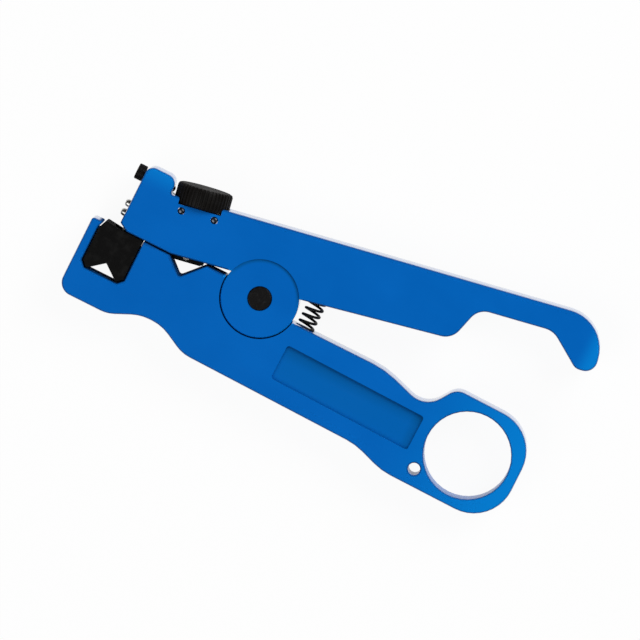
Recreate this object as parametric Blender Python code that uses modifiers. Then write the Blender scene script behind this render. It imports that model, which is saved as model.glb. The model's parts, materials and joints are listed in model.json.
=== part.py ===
"""Hand tool that slits and rings round cable.

Two moulded levers cross in a half-lap at a pivot. Squeezing the handles opens the jaws against a spring.
The head holds a guide for the slitting blade. A V notch faces the ringing blade, whose depth a knob sets.

Metres, +Z up. The origin is on the pivot axis in the plane of the front faces. +X runs along the lower
lever to its finger ring, +Y towards the upper lever, and +Z out of the front face.
"""

from math import acos, atan2, cos, pi, radians, sin, tan

import bmesh
import bpy
from mathutils import Matrix, Vector

MM = 0.001

# Both levers, and the clearances: between pieces, in a bore that holds a pin or screw, in a clamped stack
THICKNESS = 10.5 * MM
EDGE_ROUND = 0.6 * MM
GAP = 0.3 * MM
BORE_PLAY = 0.15 * MM
SNUG = 0.1 * MM
EDGE_BREAK = 0.2 * MM
HANDLE_SPREAD = radians(10.5)
DISC_R = 10.8 * MM
DISC_STEP = 0.4 * MM
ARC_STEP = radians(9)
TINY = 0.01 * MM
SIDE_SHARE = 0.98

# Lower lever: head, window and V notch
HEAD_END = -50.75 * MM
HEAD_TOP = -0.4 * MM
HEAD_UNDER = -22.55 * MM
HEAD_CORNER_R = 3.8 * MM
HEAD_TOP_R = 0.9 * MM
JAW_LINE = -0.3 * MM
RIM_WALL = 2.5 * MM
RIM_LIP = 0.8 * MM
LIP_DEPTH = 1.9 * MM
LIP_R = 0.4 * MM
WINDOW_WIDTH = 13.0 * MM
WINDOW_DEPTH = 13.5 * MM
WINDOW_CHAMFER = 1.55 * MM
WINDOW_R = 0.5 * MM
RIB_WIDTH = 2.4 * MM
RIB_HEIGHT = 0.7 * MM
NOTCH_X = -22.45 * MM
NOTCH_DEPTH = 4.3 * MM
NOTCH_R = 0.8 * MM
NOTCH_LEFT_SLOPE = radians(41.7)
NOTCH_RIGHT_SLOPE = radians(47.5)
HUMP_TOP = 1.5 * MM

# Lower lever: finger dip, grip and finger ring. The grip's places are counted back from the ring
DIP_X = -23.9 * MM
DIP_DEPTH = 3.85 * MM
DIP_FLAT = 6.4 * MM
DIP_RAMP = 8.4 * MM
DIP_FRONT_R = 9.0 * MM
DIP_TOP_R = 12.0 * MM
DIP_BACK_R = 10.0 * MM
DIP_BACK_DROP = 0.53 * MM
GRIP_TOP = -1.95 * MM
GRIP_UNDER = -24.1 * MM
GRIP_R = 25.0 * MM
HEEL_BACK = 28.65 * MM
HEEL_DROP = 3.25 * MM
HEEL_RAMP = 9.5 * MM
HEEL_R = 18.0 * MM
VALLEY_BACK = 16.3 * MM
VALLEY_DEPTH = 4.5 * MM
VALLEY_RAMP = 14.2 * MM
VALLEY_R = 6.6 * MM
RING_X = 69.8 * MM
RING_Y = -13.0 * MM
RING_HOLE_R = 12.0 * MM
RING_END_WALL = 3.1 * MM
RING_UNDER_WALL = 2.8 * MM
RING_TOP_WALL = 2.65 * MM
RING_CORNER_R = 11.5 * MM
SHOULDER_BACK = 10.6 * MM
SHOULDER_RISE = 0.4 * MM
SHOULDER_R = 4.5 * MM
CORD_HOLE_R = 1.7 * MM
CORD_HOLE_WALL = 1.3 * MM
CORD_HOLE_ANGLE = radians(221.0)
PANEL_LENGTH = 42.1 * MM
PANEL_HEIGHT = 10.3 * MM
PANEL_BACK = 3.25 * MM
PANEL_Y = -13.5 * MM
PANEL_TURN = radians(-1.2)
PANEL_DEPTH = 0.9 * MM
PANEL_CORNER_R = 0.9 * MM

# Upper lever: nose and horn, in the lower lever's axes
NOSE_CHAMFER_X = 2.6 * MM
NOSE_CHAMFER_Y = 1.5 * MM
NOSE_R = 0.4 * MM
HORN_WIDTH = 8.8 * MM
HORN_TOP = 19.2 * MM
HORN_RISE = 4.7 * MM
HORN_FRONT_R = 2.4 * MM
HORN_BACK_R = 2.6 * MM

# Upper lever: handle and hook, in the handle's axes
HANDLE_TOP = 20.6 * MM
JAW_UNDER = 5.1 * MM
HANDLE_UNDER = 2.7 * MM
BUMP_X = 53.45 * MM
BUMP_DROP = 1.25 * MM
BUMP_R = 5.2 * MM
NECK_UNDER = 13.76 * MM
NECK_X = 58.2 * MM
NECK_R = 4.8 * MM
HOOK_END = 93.3 * MM
HOOK_R = 10.8 * MM
HOOK_TIP = 5.55 * MM
HOOK_TIP_R = 3.4 * MM
HOOK_TIP_WIDTH = 5.4 * MM
HOOK_SLOPE = radians(43.9)
HOOK_INNER_R = 3.0 * MM
HOOK_ROOT_R = 5.5 * MM
DISC_OVERLAP = 1.0 * MM

# Pivot
BARREL_HEAD_R = 3.25 * MM
BARREL_HEAD = 1.5 * MM
BARREL_R = 2.5 * MM
PIVOT_THREAD_R = 1.5 * MM
PIVOT_THREAD = 5.0 * MM
PIVOT_HEX = 2.5 * MM
PIVOT_HEX_DEPTH = 1.1 * MM

# Return spring
SPRING_R = 2.65 * MM
SPRING_WIRE = 0.75 * MM
SPRING_TURNS = 5.5
SPRING_POCKET = 3.1 * MM
SPRING_WALL = 0.55 * MM

# Guide and slitting blade, whose plane stands in the middle of the window
GUIDE_RECESS = 0.3 * MM
GUIDE_RISE = 0.5 * MM
GUIDE_V_LEFT = 4.2 * MM
GUIDE_V_RIGHT = 4.4 * MM
GUIDE_V_HEIGHT = 3.7 * MM
GUIDE_V_R = 0.25 * MM
BLADE_THICK = 0.6 * MM
BLADE_BEVEL = 0.27 * MM
BLADE_SWING = 2.0 * MM
SLIT_BLADE_WIDTH = 6.0 * MM
SLIT_BLADE_SHOW = 0.3 * MM
SLIT_POINT = 2.4 * MM
CLAMP_THICK = 0.8 * MM
CLAMP_LOW = 2.6 * MM
CLAMP_MARGIN = 1.55 * MM
CLAMP_SCREW_PITCH = 2.7 * MM
CLAMP_HEAD_R = 1.05 * MM
CLAMP_HEAD = 1.6 * MM
CLAMP_SHANK_R = 0.6 * MM
CLAMP_SHANK = 5.0 * MM

# Ringing blade and its holder, in the handle's axes
HOLDER_SHOW = 1.1 * MM
HOLDER_HEIGHT = 8.1 * MM
HOLDER_WIDTH = 10.0 * MM
HOLDER_DEPTH = 6.0 * MM
RING_BLADE_SHOW = 0.5 * MM
RING_BLADE_HEIGHT = 3.1 * MM
RING_SCREW_RISE = 1.9 * MM
RING_SCREW_R = 0.6 * MM
RING_SCREW_HEAD_R = 1.1 * MM
RING_SCREW_HEAD = 0.8 * MM

# Depth knob, spindle and pins, in the handle's axes. The knob's axis meets that of the thinnest cable
CABLE_RISE = 2.5 * MM
KNOB_R = 7.72 * MM
KNOB_HEIGHT = 5.6 * MM
KNOB_RIBS = 42
KNOB_RIB = 0.35 * MM
KNOB_ROUND = 0.8 * MM
KNOB_CAP = 2.0 * MM
HUB_R = 4.2 * MM
HUB_LIP = 0.7 * MM
PIN_R = 0.93 * MM
PIN_BITE = 0.45 * MM
SPINDLE_R = 1.95 * MM
THREAD_PITCH = 0.7 * MM
KNOB_TURNS = 3.5

# Click stop on the horn
DETENT_HEAD_R = 2.23 * MM
DETENT_HEAD = 2.4 * MM
DETENT_HEX = 2.0 * MM
DETENT_HEX_DEPTH = 1.2 * MM
DETENT_R = 1.2 * MM
DETENT_SHANK = 4.2 * MM
DETENT_BALL_R = 1.05 * MM
DETENT_WIRE = 0.3 * MM
DETENT_COIL_R = 0.9 * MM
DETENT_TURNS = 4.5


def handle_point(x, y):
    """A point of the jaw's axes, in the handle's axes."""
    return x * cos(HANDLE_SPREAD) + y * sin(HANDLE_SPREAD), y * cos(HANDLE_SPREAD) - x * sin(HANDLE_SPREAD)


def jaw_point(x, y):
    """A point of the handle's axes, in the jaw's axes."""
    return x * cos(HANDLE_SPREAD) - y * sin(HANDLE_SPREAD), y * cos(HANDLE_SPREAD) + x * sin(HANDLE_SPREAD)


# Places that follow from the sizes
MID_Z = -THICKNESS / 2
NOTCH_Y = JAW_LINE - NOTCH_DEPTH
GRIP_END = RING_X - HEEL_BACK
VALLEY_X = RING_X - VALLEY_BACK
PANEL_X = RING_X - RING_HOLE_R - PANEL_BACK - PANEL_LENGTH / 2
SPRING_X = DISC_R + GAP + SPRING_WALL + GAP + SPRING_R
SPRING_LOW = GRIP_TOP - SPRING_POCKET
SPRING_HIGH = jaw_point(SPRING_X, HANDLE_UNDER)[1] + SPRING_POCKET
SLIT_X = HEAD_END + RIM_WALL + WINDOW_WIDTH / 2
CLAMP_FACE = SLIT_X - BLADE_THICK / 2 - SNUG - CLAMP_THICK
NOSE_FACE = CLAMP_FACE - GAP
NOSE_UNDER = JAW_LINE + GAP
CLAMP_SCREW_LOW = CLAMP_LOW + CLAMP_MARGIN
CLAMP_HIGH = CLAMP_SCREW_LOW + CLAMP_SCREW_PITCH + CLAMP_MARGIN
GUIDE_APEX = HEAD_TOP - WINDOW_DEPTH + GUIDE_V_HEIGHT
HOLDER_LOW = JAW_UNDER - HOLDER_SHOW
HOLDER_HIGH = HOLDER_LOW + HOLDER_HEIGHT
RING_BLADE_LOW = HOLDER_LOW - RING_BLADE_SHOW
RING_BLADE_HIGH = RING_BLADE_LOW + RING_BLADE_HEIGHT
RING_SCREW_Y = RING_BLADE_LOW + RING_SCREW_RISE
KNOB_TRAVEL = KNOB_TURNS * THREAD_PITCH
KNOB_X = handle_point(NOTCH_X, NOTCH_Y + CABLE_RISE)[0]
HUB_LOW = HOLDER_HIGH + KNOB_TRAVEL + 2 * GAP
PIN_Y = HUB_LOW + HUB_LIP + GAP + PIN_R
KNOB_LOW = PIN_Y + PIN_R + GAP + HUB_LIP
KNOB_HIGH = KNOB_LOW + KNOB_HEIGHT
DETENT_Y = jaw_point(KNOB_X - KNOB_R, KNOB_LOW + KNOB_HEIGHT / 2)[1]


# Collections and materials

def clear_scene():
    for obj in list(bpy.data.objects):
        bpy.data.objects.remove(obj)


def new_collection(name):
    collection = bpy.data.collections.new(name)
    bpy.context.scene.collection.children.link(collection)
    return collection


def new_material(name, colour, roughness, metallic=0.0):
    material = bpy.data.materials.new(name)
    material.use_nodes = True
    shader = material.node_tree.nodes["Principled BSDF"]
    shader.inputs["Base Color"].default_value = (*colour, 1.0)
    shader.inputs["Roughness"].default_value = roughness
    shader.inputs["Metallic"].default_value = metallic
    return material


clear_scene()
PARTS = new_collection("cable_slitter")
CUTTERS = new_collection("cutters")
BLUE = new_material("blue_plastic", (0.002, 0.117, 0.47), 0.42)
BLACK = new_material("black_plastic", (0.012, 0.012, 0.012), 0.5)
BLACK_STEEL = new_material("black_steel", (0.015, 0.014, 0.014), 0.35, 0.6)
STEEL = new_material("bright_steel", (0.56, 0.56, 0.55), 0.28, 1.0)


# Frames: the jaws use the world's axes, the handle is turned, and the knob stands on the handle

def new_frame(name, matrix):
    empty = bpy.data.objects.new(name, None)
    PARTS.objects.link(empty)
    empty.matrix_world = matrix
    return empty


HANDLE = Matrix.Rotation(HANDLE_SPREAD, 4, "Z")
UPRIGHT = Matrix.Rotation(-pi / 2, 4, "X")
SIDEWAYS = Matrix.Rotation(pi / 2, 4, "Y")
KNOB = HANDLE @ Matrix.Translation((KNOB_X, 0, MID_Z)) @ UPRIGHT
JAW_AXES = new_frame("jaw_axes", Matrix())
HANDLE_AXES = new_frame("handle_axes", HANDLE)
KNOB_AXES = new_frame("knob_axes", KNOB)


# Modelling helpers

def settle(obj, name, frame, material, collection=None):
    """Name an object, give it its material, and hang it on its frame where it stands."""
    obj.name = name
    obj.data.name = name
    for other in list(obj.users_collection):
        other.objects.unlink(obj)
    (collection or PARTS).objects.link(obj)
    obj.parent = frame
    if material:
        obj.data.materials.append(material)
    if collection is CUTTERS:
        obj.hide_render = True
        obj.display_type = "WIRE"
    return obj


def smooth(obj):
    obj.data.shade_smooth()
    obj.data.set_sharp_from_angle(angle=radians(35))
    return obj


def arc(centre, radius, start, end):
    count = max(2, round(abs(end - start) / ARC_STEP))
    steps = [start + (end - start) * i / count for i in range(count + 1)]
    return [(centre[0] + radius * cos(a), centre[1] + radius * sin(a)) for a in steps]


def rounded(corners):
    """An outline from its corners, each (x, y, radius). Two fillets too long for their side share it."""
    places = [Vector(corner[:2]) for corner in corners]
    sides = [(places[(i + 1) % len(places)] - place) for i, place in enumerate(places)]
    halves = []
    for i in range(len(places)):
        back, ahead = -sides[i - 1].normalized(), sides[i].normalized()
        halves.append(acos(max(-1.0, min(1.0, back.dot(ahead)))) / 2)
    reach = [corner[2] / tan(half) for corner, half in zip(corners, halves)]
    share = [min(1.0, SIDE_SHARE * side.length / max(reach[i] + reach[(i + 1) % len(reach)], TINY))
             for i, side in enumerate(sides)]
    points = []
    for i, (place, half) in enumerate(zip(places, halves)):
        back, ahead = -sides[i - 1].normalized(), sides[i].normalized()
        length = reach[i] * min(share[i - 1], share[i])
        if length <= 0:
            points.append((place.x, place.y))
            continue
        middle = place + (back + ahead).normalized() * length / cos(half)
        first = place + back * length - middle
        last = place + ahead * length - middle
        start = atan2(first.y, first.x)
        turn = (atan2(last.y, last.x) - start + pi) % (2 * pi) - pi
        points += arc(middle, first.length, start, start + turn)
    return points


def plate(outlines, low, high, edge=0.0, steps=1):
    """A flat piece between two heights from its outlines, the outer one first, with its edges rounded."""
    curve = bpy.data.curves.new("outline", "CURVE")
    curve.dimensions = "2D"
    curve.fill_mode = "BOTH"
    curve.extrude = (high - low) / 2 - edge
    curve.bevel_depth = edge
    curve.bevel_resolution = steps - 1
    curve.offset = -edge
    for outline in outlines:
        spline = curve.splines.new("POLY")
        spline.points.add(len(outline) - 1)
        for point, (x, y) in zip(spline.points, outline):
            point.co = (x, y, 0, 1)
        spline.use_cyclic_u = True
    obj = bpy.data.objects.new("outline", curve)
    bpy.context.scene.collection.objects.link(obj)
    return mesh_of(obj, Matrix.Translation((0, 0, (low + high) / 2)))


def mesh_of(obj, place):
    """Turn a curve object into a welded mesh object, set in its place."""
    bpy.context.view_layer.update()
    mesh = bpy.data.meshes.new_from_object(obj.evaluated_get(bpy.context.evaluated_depsgraph_get()))
    bpy.data.objects.remove(obj)
    work = bmesh.new()
    work.from_mesh(mesh)
    bmesh.ops.remove_doubles(work, verts=work.verts, dist=0.001 * MM)
    bmesh.ops.recalc_face_normals(work, faces=work.faces)
    bmesh.ops.dissolve_limit(work, angle_limit=radians(0.1), verts=work.verts, edges=work.edges)
    bmesh.ops.transform(work, matrix=place, verts=work.verts)
    work.to_mesh(mesh)
    work.free()
    made = bpy.data.objects.new("piece", mesh)
    bpy.context.scene.collection.objects.link(made)
    return made


def turned(profile, sides=32):
    """A solid of revolution about Z. The profile is (radius, height) from the top down."""
    mesh = bpy.data.meshes.new("profile")
    mesh.from_pydata([(r, 0, z) for r, z in profile], [(i, i + 1) for i in range(len(profile) - 1)], [])
    obj = bpy.data.objects.new("piece", mesh)
    bpy.context.scene.collection.objects.link(obj)
    screw = obj.modifiers.new("Screw", "SCREW")
    screw.steps = screw.render_steps = sides
    screw.use_merge_vertices = True
    screw.merge_threshold = 0.0001 * MM
    return mesh_of(obj, Matrix())


def rod(radius, low, high, sides=32):
    return turned([(0, high), (radius, high), (radius, low), (0, low)], sides)


def box(low, high):
    work = bmesh.new()
    size = [b - a for a, b in zip(low, high)]
    middle = [(a + b) / 2 for a, b in zip(low, high)]
    bmesh.ops.create_cube(work, size=1.0, matrix=Matrix.Translation(middle) @ Matrix.Diagonal((*size, 1)))
    mesh = bpy.data.meshes.new("box")
    work.to_mesh(mesh)
    work.free()
    obj = bpy.data.objects.new("piece", mesh)
    bpy.context.scene.collection.objects.link(obj)
    return obj


def hexagon(across_flats, low, high):
    return rod(across_flats / 2 / cos(pi / 6), low, high, 6)


def coil(radius, wire, low, high, turns, closed, sides=12):
    """A compression spring along Z with closed ends: the pitch is fine over the first and last turns."""
    count = round((turns + 2 * closed) * sides)
    curve = bpy.data.curves.new("coil", "CURVE")
    curve.dimensions = "3D"
    curve.bevel_depth = wire / 2
    curve.bevel_resolution = 1
    curve.use_fill_caps = True
    spline = curve.splines.new("POLY")
    spline.points.add(count)
    fine = wire * 1.06
    pitch = (high - low - wire - 2 * closed * fine) / turns
    for i, point in enumerate(spline.points):
        turn = i / sides
        rise = fine * min(turn, closed) + pitch * min(max(turn - closed, 0), turns)
        rise += fine * max(turn - closed - turns, 0)
        angle = 2 * pi * turn
        across = radius - wire / 2
        point.co = (across * cos(angle), across * sin(angle), low + wire / 2 + rise, 1)
    obj = bpy.data.objects.new("coil", curve)
    bpy.context.scene.collection.objects.link(obj)
    return mesh_of(obj, Matrix())


def moved(obj, matrix):
    obj.data.transform(matrix)
    return obj


def combine(target, other, operation):
    """Cut, join or keep the common part. Both are modelled in the same axes."""
    tool = settle(other, f"{target.name}_tool", None, None, CUTTERS)
    step = target.modifiers.new(operation.title(), "BOOLEAN")
    step.operation = operation
    step.solver = "EXACT"
    step.object = tool
    return target


def cut(target, *cutters):
    for cutter in cutters:
        combine(target, cutter, "DIFFERENCE")
    return target


def join(target, *others):
    for other in others:
        combine(target, other, "UNION")
    return target


def baked(obj):
    """Apply the Booleans of an object and remove their tools."""
    bpy.context.view_layer.update()
    mesh = bpy.data.meshes.new_from_object(obj.evaluated_get(bpy.context.evaluated_depsgraph_get()))
    tools = [step.object for step in obj.modifiers]
    obj.modifiers.clear()
    obj.data = mesh
    for tool in tools:
        bpy.data.objects.remove(tool)
    return obj


def chamfer(obj, width, picked):
    """Bevel the edges for which picked(edge) holds."""
    work = bmesh.new()
    work.from_mesh(obj.data)
    edges = [edge for edge in work.edges if picked(edge)]
    bmesh.ops.bevel(work, geom=edges, offset=width, segments=1, affect="EDGES", clamp_overlap=True)
    work.to_mesh(obj.data)
    work.free()
    return obj


# The half-lap: each lever keeps half of the thickness around the pivot

def disc(radius, low, high, edge=0.0):
    profile = [(0, high), (radius - edge, high), (radius, high - edge), (radius, low), (0, low)]
    return turned(profile, 72)


def pivot_bores(head_low, head_high):
    """The bore for the barrel, with the counterbore of one head."""
    return (
        rod(BARREL_R + BORE_PLAY, -THICKNESS - GAP, GAP, 32),
        rod(BARREL_HEAD_R + BORE_PLAY, head_low, head_high, 40),
    )


# Lower lever

def window_outline(clearance):
    """The head's window, open at its top. A clearance above zero gives what fits in it."""
    left = HEAD_END + RIM_WALL + clearance
    right = HEAD_END + RIM_WALL + WINDOW_WIDTH - clearance
    floor = HEAD_TOP - WINDOW_DEPTH + clearance
    lip = HEAD_TOP - LIP_DEPTH
    foot = floor + WINDOW_CHAMFER
    return left, right, floor, lip, foot


def notch_edge(side, height, clearance):
    """Where a flank of the V notch, moved in by a clearance, reaches a height in the handle's axes."""
    slope = NOTCH_RIGHT_SLOPE if side > 0 else NOTCH_LEFT_SLOPE
    lean = (slope if side > 0 else pi - slope) - HANDLE_SPREAD
    foot_x, foot_y = handle_point(NOTCH_X, NOTCH_Y)
    return foot_x + (height - foot_y) / tan(lean) - side * clearance / sin(lean)


def lower_outline():
    left, right, floor, lip, foot = window_outline(0)
    notch_left = NOTCH_X - NOTCH_DEPTH / tan(NOTCH_LEFT_SLOPE)
    notch_right = NOTCH_X + (HUMP_TOP - NOTCH_Y) / tan(NOTCH_RIGHT_SLOPE)
    ring_right = RING_X + RING_HOLE_R + RING_END_WALL
    ring_under = RING_Y - RING_HOLE_R - RING_UNDER_WALL
    ring_top = RING_Y + RING_HOLE_R + RING_TOP_WALL
    dip_left = DIP_X - DIP_FLAT / 2
    dip_right = DIP_X + DIP_FLAT / 2
    return rounded([
        (HEAD_END, HEAD_TOP, HEAD_TOP_R),
        (HEAD_END, HEAD_UNDER, HEAD_CORNER_R),
        (dip_left - DIP_RAMP, HEAD_UNDER, DIP_FRONT_R),
        (dip_left, HEAD_UNDER + DIP_DEPTH, DIP_TOP_R),
        (dip_right, HEAD_UNDER + DIP_DEPTH, DIP_TOP_R),
        (dip_right + DIP_RAMP, HEAD_UNDER - DIP_BACK_DROP, DIP_BACK_R),
        (GRIP_END, GRIP_UNDER, HEEL_R),
        (GRIP_END + HEEL_RAMP, GRIP_UNDER - HEEL_DROP, HEEL_R),
        (ring_right, ring_under, RING_CORNER_R),
        (ring_right, ring_top, RING_CORNER_R),
        (RING_X - SHOULDER_BACK, ring_top + SHOULDER_RISE, SHOULDER_R),
        (VALLEY_X, GRIP_TOP - VALLEY_DEPTH, VALLEY_R),
        (VALLEY_X - VALLEY_RAMP, GRIP_TOP, GRIP_R),
        (0, GRIP_TOP, 0),
        (0, HUMP_TOP, 0),
        (notch_right, HUMP_TOP, NOTCH_R),
        (NOTCH_X, NOTCH_Y, NOTCH_R),
        (notch_left, JAW_LINE, LIP_R),
        (right, JAW_LINE, LIP_R),
        (right, foot, WINDOW_R),
        (right - WINDOW_CHAMFER, floor, WINDOW_R),
        (left + WINDOW_CHAMFER, floor, WINDOW_R),
        (left, foot, WINDOW_R),
        (left, lip, LIP_R),
        (left + RIM_LIP, HEAD_TOP, LIP_R),
    ])


def ring_circle(radius, x, y):
    return arc((x, y), radius, 0, 2 * pi)[:-1]


def label_recess():
    half_x = PANEL_LENGTH / 2
    half_y = PANEL_HEIGHT / 2
    corners = [(-half_x, -half_y), (half_x, -half_y), (half_x, half_y), (-half_x, half_y)]
    outline = rounded([(x, y, PANEL_CORNER_R) for x, y in corners])
    recess = plate([outline], -PANEL_DEPTH, PANEL_DEPTH)
    return moved(recess, Matrix.Translation((PANEL_X, PANEL_Y, 0)) @ Matrix.Rotation(PANEL_TURN, 4, "Z"))


def guide_ribs():
    left, right, floor, lip, _ = window_outline(0)
    for wall, side in ((left, 1), (right, -1)):
        low, high = sorted((wall - side * GAP, wall + side * RIB_HEIGHT))
        yield box((low, floor + WINDOW_CHAMFER, MID_Z - RIB_WIDTH / 2), (high, lip, MID_Z + RIB_WIDTH / 2))


def spring_pocket(low, high):
    pocket = rod(SPRING_R + GAP, low, high, 28)
    return moved(pocket, Matrix.Translation((SPRING_X, 0, MID_Z)) @ UPRIGHT)


def lower_lever():
    cord_from_ring = RING_HOLE_R + CORD_HOLE_WALL + CORD_HOLE_R
    cord_x = RING_X + cord_from_ring * cos(CORD_HOLE_ANGLE)
    cord_y = RING_Y + cord_from_ring * sin(CORD_HOLE_ANGLE)
    outlines = [
        lower_outline(),
        ring_circle(RING_HOLE_R, RING_X, RING_Y),
        ring_circle(CORD_HOLE_R, cord_x, cord_y),
    ]
    lever = plate(outlines, -THICKNESS, 0, EDGE_ROUND, 2)
    join(lever, disc(DISC_R, -THICKNESS, MID_Z - GAP / 2), *guide_ribs())
    cut(lever, moved(disc(DISC_R + GAP, -THICKNESS, 0), Matrix.Translation((0, 0, THICKNESS / 2 - GAP / 2))))
    cut(lever, *pivot_bores(-THICKNESS - GAP, -THICKNESS + BARREL_HEAD + GAP), label_recess())
    cut(lever, spring_pocket(SPRING_LOW, GRIP_TOP + SPRING_POCKET))
    return smooth(settle(baked(lever), "lower_lever", JAW_AXES, BLUE))


# Upper lever

def upper_outline():
    jaw = [
        (NOTCH_X - NOTCH_DEPTH / tan(NOTCH_LEFT_SLOPE), NOSE_UNDER, 0),
        (NOSE_FACE + NOSE_CHAMFER_X, NOSE_UNDER, NOSE_R),
        (NOSE_FACE, NOSE_UNDER + NOSE_CHAMFER_Y, NOSE_R),
        (NOSE_FACE, HORN_TOP, HORN_FRONT_R),
        (NOSE_FACE + HORN_WIDTH, HORN_TOP, HORN_BACK_R),
    ]
    jaw = [(*handle_point(x, y), radius) for x, y, radius in jaw]
    horn_foot, _ = handle_point(NOSE_FACE + HORN_WIDTH, HORN_TOP - HORN_RISE)
    hook_inner = HOOK_END - HOOK_TIP_WIDTH
    hook_root = hook_inner - (NECK_UNDER - HOOK_TIP) / tan(HOOK_SLOPE)
    disc_left = -(DISC_R ** 2 - JAW_UNDER ** 2) ** 0.5
    disc_right = (DISC_R ** 2 - HANDLE_UNDER ** 2) ** 0.5
    return rounded([
        *jaw,
        (horn_foot, HANDLE_TOP, WINDOW_R),
        (HOOK_END, HANDLE_TOP, HOOK_R),
        (HOOK_END, HOOK_TIP, HOOK_TIP_R),
        (hook_inner, HOOK_TIP, HOOK_INNER_R),
        (hook_root, NECK_UNDER, HOOK_ROOT_R),
        (NECK_X, NECK_UNDER, NECK_R),
        (BUMP_X, HANDLE_UNDER + BUMP_DROP, BUMP_R),
        (disc_right - DISC_OVERLAP, HANDLE_UNDER, 0),
        (disc_left + DISC_OVERLAP, JAW_UNDER, 0),
    ])


def along_jaw(y):
    """The place of a piece that stands on the nose's face and points along the jaw."""
    return Matrix.Translation((NOSE_FACE, y, MID_Z)) @ SIDEWAYS


def clamp_screw_holes():
    for y in (CLAMP_SCREW_LOW, CLAMP_SCREW_LOW + CLAMP_SCREW_PITCH):
        yield moved(rod(CLAMP_SHANK_R + BORE_PLAY, -GAP, CLAMP_SHANK + GAP, 16), along_jaw(y))


def blade_seat():
    """The slot under the nose for the slitting blade and its clamp, open at the nose's face and foot."""
    back = SLIT_X + BLADE_THICK / 2 + GAP
    half = SLIT_BLADE_WIDTH / 2 + GAP
    return box((NOSE_FACE - GAP, NOSE_UNDER - GAP, MID_Z - half), (back, CLAMP_HIGH + GAP, MID_Z + half))


def detent_bore():
    return moved(rod(DETENT_R + BORE_PLAY, -GAP, HORN_WIDTH + 4 * GAP, 20), along_jaw(DETENT_Y))


def knob_seat():
    """The seat of the knob's rim, the bore of its hub and the slide way of the blade holder."""
    rim = rod(KNOB_R + GAP, KNOB_LOW - GAP, KNOB_HIGH + GAP, 72)
    hub = rod(HUB_R + GAP, HOLDER_HIGH, KNOB_LOW, 40)
    half_x = HOLDER_WIDTH / 2 + GAP
    half_z = HOLDER_DEPTH / 2 + GAP
    way = box((-half_x, -half_z, 0), (half_x, half_z, HOLDER_HIGH + KNOB_TRAVEL + GAP))
    to_handle = Matrix.Translation((KNOB_X, 0, MID_Z)) @ UPRIGHT
    return [moved(piece, to_handle) for piece in (rim, hub, way)]


def pin_places():
    offset = HUB_R - PIN_BITE + PIN_R
    return KNOB_X - offset, KNOB_X + offset


def pin_bores():
    for x in pin_places():
        yield moved(rod(PIN_R + SNUG, -THICKNESS - GAP, GAP, 16), Matrix.Translation((x, PIN_Y, 0)))


def upper_lever():
    lever = plate([upper_outline()], -THICKNESS, 0, EDGE_ROUND, 2)
    cut(lever, disc(DISC_R, -DISC_STEP, GAP))
    join(lever, disc(DISC_R, MID_Z + GAP / 2, -DISC_STEP, GAP))
    cut(lever, disc(DISC_R + GAP, -THICKNESS - GAP, MID_Z + GAP / 2))
    cut(lever, *pivot_bores(-BARREL_HEAD - GAP, GAP), *knob_seat(), *pin_bores())
    jaw_cutters = [blade_seat(), *clamp_screw_holes(), detent_bore(), spring_pocket(GRIP_TOP, SPRING_HIGH)]
    cut(lever, *(moved(cutter, HANDLE.inverted()) for cutter in jaw_cutters))
    return smooth(settle(baked(lever), "upper_lever", HANDLE_AXES, BLUE))


# Pivot

def pivot_barrel():
    barrel = turned([
        (0, 0),
        (BARREL_HEAD_R - EDGE_BREAK, 0),
        (BARREL_HEAD_R, -EDGE_BREAK),
        (BARREL_HEAD_R, -BARREL_HEAD),
        (BARREL_R, -BARREL_HEAD),
        (BARREL_R, -THICKNESS + BARREL_HEAD + GAP),
        (0, -THICKNESS + BARREL_HEAD + GAP),
    ], 40)
    depth = -THICKNESS + BARREL_HEAD + PIVOT_THREAD + GAP
    cut(barrel, rod(PIVOT_THREAD_R + BORE_PLAY, -THICKNESS, depth, 20))
    return smooth(settle(baked(barrel), "pivot_barrel", JAW_AXES, BLACK_STEEL))


def pivot_screw():
    screw = turned([
        (0, -THICKNESS + BARREL_HEAD + PIVOT_THREAD),
        (PIVOT_THREAD_R, -THICKNESS + BARREL_HEAD + PIVOT_THREAD),
        (PIVOT_THREAD_R, -THICKNESS + BARREL_HEAD),
        (BARREL_HEAD_R, -THICKNESS + BARREL_HEAD),
        (BARREL_HEAD_R, -THICKNESS + EDGE_BREAK),
        (BARREL_HEAD_R - EDGE_BREAK, -THICKNESS),
        (0, -THICKNESS),
    ], 40)
    cut(screw, hexagon(PIVOT_HEX, -THICKNESS - GAP, -THICKNESS + PIVOT_HEX_DEPTH))
    return smooth(settle(baked(screw), "pivot_screw", JAW_AXES, BLACK_STEEL))


# Return spring

def return_spring():
    spring = coil(SPRING_R, SPRING_WIRE, SPRING_LOW + GAP, SPRING_HIGH - GAP, SPRING_TURNS, 1)
    moved(spring, Matrix.Translation((SPRING_X, 0, MID_Z)) @ UPRIGHT)
    return smooth(settle(spring, "return_spring", JAW_AXES, BLACK_STEEL))


# Guide for the cable, with a tapered way that the slitting blade swings out of

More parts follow.
